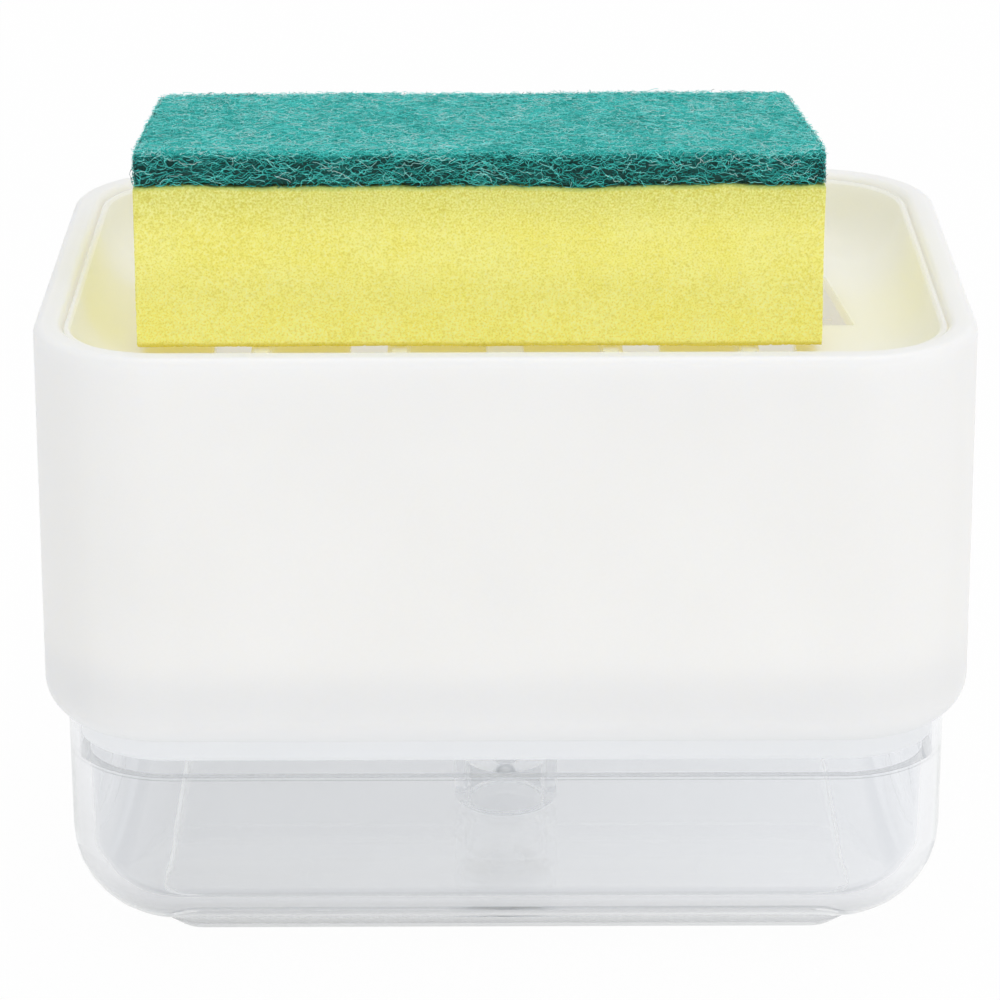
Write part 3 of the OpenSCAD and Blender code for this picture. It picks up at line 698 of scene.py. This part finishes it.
def closed(tree, geometry, given, result):
    smooth = add(tree, "GeometryNodeSetShadeSmooth", {"Geometry": geometry})
    real = add(tree, "GeometryNodeRealizeInstances", {"Geometry": smooth.outputs[0]})
    done = add(tree, "GeometryNodeSetMaterial", {"Geometry": real.outputs[0], "Material": given["Material"]})
    tree.links.new(done.outputs[0], result)


print("block and cut ready")

# %% [markdown]
# ## The foam's colour
# A fine noise is the grain of the cells: its low parts are pores, painted dark as painted shade,
# and its high parts are bright walls. Under the pad the foam is painted greener and darker, with
# deeper pores, as painted shade from the pad, and a green line of glue runs along the seam. The
# lowest edge is painted dark, a painted contact shadow, and above it the foam glows a little with
# painted light that stands in for what the white tray sends up into it.

# %% Foam material
GRAIN, CLOUDS = 3400.0, 160.0  # patterns per metre
PIT_SHARE, PAD_SHADE_SHARE = 0.25, 0.8
PORE_SHARE, MORE_UNDER_PAD = 0.42, 0.35


def attribute(tree, name):
    return add(tree, "ShaderNodeAttribute", attribute_name=name).outputs["Fac"]


def over_foot(tree, height, low, high, at_low, at_high):
    """A value that changes with the height over the foam's lower face, in millimetres."""
    return between(tree, height, foam_low.z + low * MM, foam_low.z + high * MM, at_low, at_high)


foam_low, foam_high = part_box("sponge_foam")
foam_yellow, tree, body = new_material("foam_yellow")
place = coordinates(tree)
grain = noise(tree, place, GRAIN, 2.0)
cloud = noise(tree, place, CLOUDS, 3.0)
# painted shade: pores and the pits of cut cells are painted darker
pits = maths(tree, "MULTIPLY", attribute(tree, "pit"), PIT_SHARE)
pore = maths(tree, "MAXIMUM", between(tree, grain, 0.34, 0.5, 1.0, 0.0), pits)
near_pad = attribute(tree, "under_pad")
# painted shade: near the pad the foam is painted greener and darker
under_pad = maths(tree, "MULTIPLY", near_pad, PAD_SHADE_SHARE)
deepness = maths(tree, "ADD", PORE_SHARE, maths(tree, "MULTIPLY", under_pad, MORE_UNDER_PAD))
height = xyz(tree, place)[2]
# painted contact shadow: the foam's lowest edge is painted dark
contact_shade = over_foot(tree, height, 0.3, 0.8, 0.6, 0.0)

colour = ramp(tree, cloud, (0.3, (0.97, 0.9, 0.21)), (0.7, (1.0, 0.95, 0.29)))
for factor, over in (
        # painted shade from the pad
        (under_pad, (0.7, 0.72, 0.2)),
        (between(tree, grain, 0.5, 0.66, 0.0, 0.6), (1.0, 0.98, 0.44)),
        # painted shade: dark pores, deeper under the pad
        (maths(tree, "MULTIPLY", pore, deepness, clamp=True), (0.66, 0.57, 0.06)),
        (between(tree, near_pad, 0.9, 1.0, 0.0, 0.75), (0.3, 0.48, 0.14)),
        # painted contact shadow along the lowest edge
        (contact_shade, (0.72, 0.55, 0.03))):
    colour = blended(tree, factor, colour, over)
tree.links.new(colour, body.inputs["Base Color"])
# painted light: the foam glows a little above its lowest edge, for light from the white tray
tray_glow = maths(tree, "MULTIPLY", over_foot(tree, height, 0.9, 16, 1.0, 0.0),
                over_foot(tree, height, 0.3, 0.9, 0.0, 1.0))
tree.links.new(blended(tree, tray_glow, (0, 0, 0), (0.95, 0.88, 0.28)), body.inputs["Emission Color"])
fill(body, {"Emission Strength": 0.07, "Roughness": 0.9, "Specular IOR Level": 0.2, "Subsurface Weight": 0.2,
            "Subsurface Radius": (1, 0.8, 0.2), "Subsurface Scale": 0.6 * MM})
relief(tree, body, 0.6, 0.15 * MM, grain)
print("material:", foam_yellow.name)

# %% [markdown]
# ## The foam's shape
# The lower part of the sponge is open-celled foam, cut by a saw. Its faces are nearly flat, with
# slow dents, and every cell that the saw opened is a small pit. A Voronoi pattern has one point in
# each cell, so the distance to it gives the pits. The pits and the nearness of the pad are kept as
# attributes, for the material.

# %% Foam block
UNDER_PAD = 7 * MM
DENTS = 70.0

tree, given, result = geometry_tree("foam_block", CUT + [
    ("Cell", "Float"), ("Pit depth", "Float"), ("Dent", "Float")])
foam_tree = tree
base = block(tree, given)
per_metre = maths(tree, "DIVIDE", 1.0, given["Cell"])
cells = add(tree, "ShaderNodeTexVoronoi", {"Vector": position(tree), "Scale": per_metre}).outputs["Distance"]
pit = between(tree, cells, 0.12, 0.5, 1.0, 0.0, interpolation_type="SMOOTHSTEP")
dents = maths(tree, "SUBTRACT", noise(tree, position(tree), DENTS, 2.0), 0.5)
depth = maths(tree, "ADD", maths(tree, "MULTIPLY", pit, maths(tree, "MULTIPLY", given["Pit depth"], -1.0)),
              maths(tree, "MULTIPLY", dents, given["Dent"]))
push = scaled(tree, add(tree, "GeometryNodeInputNormal").outputs[0], depth)
top = maths(tree, "MULTIPLY", xyz(tree, given["Size"])[2], 0.5)
near_pad = between(tree, xyz(tree, position(tree))[2], maths(tree, "SUBTRACT", top, UNDER_PAD), top)
marked = stored(tree, stored(tree, base, "pit", pit), "under_pad", near_pad)
closed(tree, hand_cut(tree, moved(tree, marked, Offset=push), given), given, result)

foam = grown("yellow_foam_block", foam_tree, {
    "Size": tuple(foam_high - foam_low), "Centre": tuple((foam_high + foam_low) / 2), "Edge radius": 0.6 * MM,
    "Step": 0.3 * MM, "Cell": 0.62 * MM, "Pit depth": 0.2 * MM, "Dent": 0.5 * MM, "Wave above": 1.2 * MM,
    "Material": foam_yellow, **sponge_cut})
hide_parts("sponge_foam")
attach(foam, "sponge")
print("foam:", len(foam.data.polygons), "faces")

# %% [markdown]
# ## The scouring pad
# The pad is a felt of curled nylon fibres, glued together and on to the foam. Seen from above the
# fibres lie flat and catch the light, and the cut side shows dark gaps between them. So the piece
# is a lumpy core painted dark, as painted shade for those gaps, and darker still on its cut side,
# with thousands of curled fibres lying on it. A strand's own number and the depth it lies at give
# its tone, from a green that is nearly black to one that is nearly white. The darkening with
# depth, stronger on the cut side, is painted shade, and the nearly white end is painted highlight.

# %% Felt materials
PATCHES = 120.0
STRAND_SHARE, PATCH_SHARE, LEAST_TONE = 0.65, 0.38, 0.1
TONE_STOPS = (0.0, 0.3, 0.66, 0.92)


def felt(name, tones, roughness):
    made, tree, body = new_material(name)
    patch = noise(tree, coordinates(tree), PATCHES, 3.0)
    tone = maths(tree, "ADD", maths(tree, "MULTIPLY", attribute(tree, "strand"), STRAND_SHARE),
                 maths(tree, "MULTIPLY_ADD", patch, PATCH_SHARE, LEAST_TONE))
    # painted shade: the stored darkening makes deeper fibres darker, more so on the cut side
    tone = maths(tree, "SUBTRACT", tone, attribute(tree, "sunk"), clamp=True)
    tree.links.new(ramp(tree, tone, *zip(TONE_STOPS, tones)), body.inputs["Base Color"])
    fill(body, {"Roughness": roughness, "Specular IOR Level": 0.4})
    return made


# the nearly white last tone is painted highlight, glints on the fibres
fibre_green = felt("fibre_green", ((0.003, 0.07, 0.064), (0.02, 0.6, 0.55), (0.15, 1.0, 0.95),
                                   (0.75, 1.0, 1.0)), 0.3)
# the core's greens are darker than the fibres': painted shade for the depth of the felt
core_green = felt("core_green", ((0.003, 0.05, 0.045), (0.01, 0.38, 0.35), (0.03, 0.58, 0.54),
                                 (0.04, 0.65, 0.6)), 0.8)
print("felt materials made")

# %% Pad core
SIDE, TOP = 0.3, 0.8  # how far a normal points up on the pad's cut side and on its top
LUMPS, CORE_SIDE_SHADE = 420.0, 0.3

tree, given, result = geometry_tree("pad_core", CUT + [("Lump", "Float")])
core_tree = tree
base = block(tree, given)
lumps = maths(tree, "SUBTRACT", noise(tree, position(tree), LUMPS, 4.0), 0.5)
normal = add(tree, "GeometryNodeInputNormal").outputs[0]
push = scaled(tree, normal, maths(tree, "MULTIPLY", lumps, given["Lump"]))
# painted shade: the core is darker on its cut side
marked = stored(tree, base, "sunk", between(tree, xyz(tree, normal)[2], SIDE, TOP, CORE_SIDE_SHADE, 0.0))
closed(tree, hand_cut(tree, moved(tree, marked, Offset=push), given), given, result)

pad_low, pad_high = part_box("scouring_pad")
pad_size, pad_centre = pad_high - pad_low, tuple((pad_high + pad_low) / 2)
sunk = Vector((0.4, 0.4, 0.3)) * MM
pad_cut = {"Edge radius": 1.4 * MM, "Wave below": 1.2 * MM, "Wave above": 0.5 * MM, **sponge_cut}
core = grown("pad_felt_core", core_tree, {
    "Size": tuple(pad_size - 2 * sunk), "Centre": pad_centre, "Step": 0.45 * MM, "Lump": 0.9 * MM,
    "Material": core_green, **pad_cut})
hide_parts("scouring_pad")
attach(core, "sponge")
print("pad core:", len(core.data.polygons), "faces")

# %% [markdown]
# ## Where the fibres lie
# Points are scattered over the pad's top and sides, and each is sunk by a depth of its own. On each
# lies a short line: any way round on the top, and nearly level on the sides. It keeps its depth,
# its number and the way its face looks, because the next step needs them.

# %% Fibre places
NOT_BELOW = -0.6
FULL_TURN, SIDE_TILT = 6.283, 0.7
SHORTEST = 0.4
POINTS_PER_FIBRE = 8
MORE_ON_SIDE, SHADE_ON_TOP = 1.3, 0.1

tree, given, result = geometry_tree("felt_fibres", CUT + [
    ("Fibres per square metre", "Float"), ("Length", "Float"), ("Thickness", "Float"), ("Curl", "Float"),
    ("Stray", "Float"), ("Depth", "Float"), ("Seed", "Int")])
fibre_tree = tree


def chance(tree, low, high, seed):
    made = add(tree, "FunctionNodeRandomValue", {2: low, 3: high, 8: seed}, data_type="FLOAT")
    return made.outputs[1]


base = block(tree, given)
upright = xyz(tree, add(tree, "GeometryNodeInputNormal").outputs[0])[2]
covered = maths(tree, "GREATER_THAN", upright, NOT_BELOW)
density = maths(tree, "MULTIPLY", given["Fibres per square metre"], covered)
points = add(tree, "GeometryNodeDistributePointsOnFaces",
             {"Mesh": base, "Density": density, "Seed": given["Seed"]})
facing = points.outputs["Normal"]
depth = chance(tree, 0.0, 1.0, 5)
down = maths(tree, "MULTIPLY", depth, maths(tree, "MULTIPLY", given["Depth"], -1.0))
sunken = moved(tree, points.outputs["Points"], Offset=scaled(tree, facing, down))
on_side = between(tree, xyz(tree, facing)[2], SIDE, TOP, 1.0, 0.0)
# painted shade: the deeper a fibre lies, the darker, and more so on the cut side
shaded = maths(tree, "MULTIPLY", depth, maths(tree, "MULTIPLY_ADD", on_side, MORE_ON_SIDE, SHADE_ON_TOP))

half = maths(tree, "MULTIPLY", given["Length"], 0.5)
line = add(tree, "GeometryNodeCurvePrimitiveLine", {
    "Start": vector(tree, x=maths(tree, "MULTIPLY", half, -1.0)), "End": vector(tree, x=half)})
strand = add(tree, "GeometryNodeResampleCurve", {"Curve": line.outputs[0], "Count": POINTS_PER_FIBRE})
spin = chance(tree, 0.0, FULL_TURN, 1)
flat_way = vector(tree, x=maths(tree, "COSINE", spin), y=maths(tree, "SINE", spin))
tilt = vector(tree, z=chance(tree, -SIDE_TILT, SIDE_TILT, 4))
along = vector_maths(tree, "ADD", vector_maths(tree, "CROSS_PRODUCT", facing, (0, 0, 1)), tilt)
way = add(tree, "ShaderNodeMix", {"Factor": maths(tree, "GREATER_THAN", on_side, 0.5), 4: flat_way, 5: along},
          data_type="VECTOR").outputs[1]
pointed = add(tree, "FunctionNodeAlignRotationToVector", {"Vector": way}, axis="X")
turned = add(tree, "FunctionNodeAlignRotationToVector", {"Rotation": pointed.outputs[0], "Vector": facing},
             axis="Z", pivot_axis="X")
laid = add(tree, "GeometryNodeInstanceOnPoints",
           {"Points": sunken, "Instance": strand.outputs[0], "Rotation": turned.outputs[0],
            "Scale": chance(tree, SHORTEST, 1.0, 2)}).outputs[0]
for name, value, kind in (("strand", chance(tree, 0.0, 1.0, 3), "FLOAT"), ("sunk", shaded, "FLOAT"),
                          ("facing", facing, "FLOAT_VECTOR")):
    laid = stored(tree, laid, name, value, domain="INSTANCE", data_type=kind)
loose = add(tree, "GeometryNodeRealizeInstances", {"Geometry": laid}).outputs[0]
print("tree:", fibre_tree.name)

# %% [markdown]
# ## How the fibres curl
# A noise that is different for every fibre bends it, less outwards than along the pad. A limit
# keeps it close to the block, and only a few stray further. Then a thin three-sided tube gives it a
# body. Fibres that lie deeper are painted darker, as painted shade from the fibres above them.

# %% Fibres
BENDS = 760.0
NOISE_APART = 90.0
OUTWARD_LOSS = 0.75
SECOND_NUMBER = 37.0  # a strand's number times this, without its whole part, is a number of its own
FEW = 3.0  # the power that leaves only a few fibres a large stray

which = add(tree, "GeometryNodeInputNamedAttribute", {"Name": "strand"}, data_type="FLOAT").outputs[0]
outward = add(tree, "GeometryNodeInputNamedAttribute", {"Name": "facing"}, data_type="FLOAT_VECTOR").outputs[0]
bend = add(tree, "ShaderNodeTexNoise",
           {"Vector": position(tree), "Scale": BENDS, "Detail": 1.0,
            "W": maths(tree, "MULTIPLY", which, NOISE_APART)}, noise_dimensions="4D")
bend = vector_maths(tree, "SUBTRACT", bend.outputs["Color"], (0.5, 0.5, 0.5))
lift = maths(tree, "MULTIPLY", vector_maths(tree, "DOT_PRODUCT", bend, outward), OUTWARD_LOSS)
bend = scaled(tree, vector_maths(tree, "SUBTRACT", bend, scaled(tree, outward, lift)), given["Curl"])
own = maths(tree, "FRACT", maths(tree, "MULTIPLY", which, SECOND_NUMBER))
stray = maths(tree, "MULTIPLY", maths(tree, "POWER", own, FEW), given["Stray"])
room = vector_maths(tree, "ADD", scaled(tree, given["Size"], 0.5), vector(tree, stray, stray, stray))
there = vector_maths(tree, "MAXIMUM", vector_maths(tree, "ADD", position(tree), bend), mirrored(tree, room))
curled = moved(tree, loose, Position=vector_maths(tree, "MINIMUM", there, room))
round_wire = add(tree, "GeometryNodeCurvePrimitiveCircle", {"Resolution": 3, "Radius": given["Thickness"]})
wires = add(tree, "GeometryNodeCurveToMesh",
            {"Curve": curled, "Profile Curve": round_wire.outputs[0], "Fill Caps": False})
closed(tree, hand_cut(tree, wires.outputs[0], given), given, result)

fibres = grown("pad_fibres", fibre_tree, {
    "Size": tuple(pad_size - 0.5 * sunk), "Centre": pad_centre, "Step": 0.8 * MM,
    "Fibres per square metre": 7.6e6, "Length": 2.6 * MM, "Thickness": 0.034 * MM, "Curl": 3.2 * MM,
    "Stray": 0.5 * MM, "Depth": 0.45 * MM, "Seed": 7, "Material": fibre_green, **pad_cut})
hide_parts("scouring_pad")
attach(fibres, "sponge")
print("fibres:", len(fibres.data.polygons), "faces")
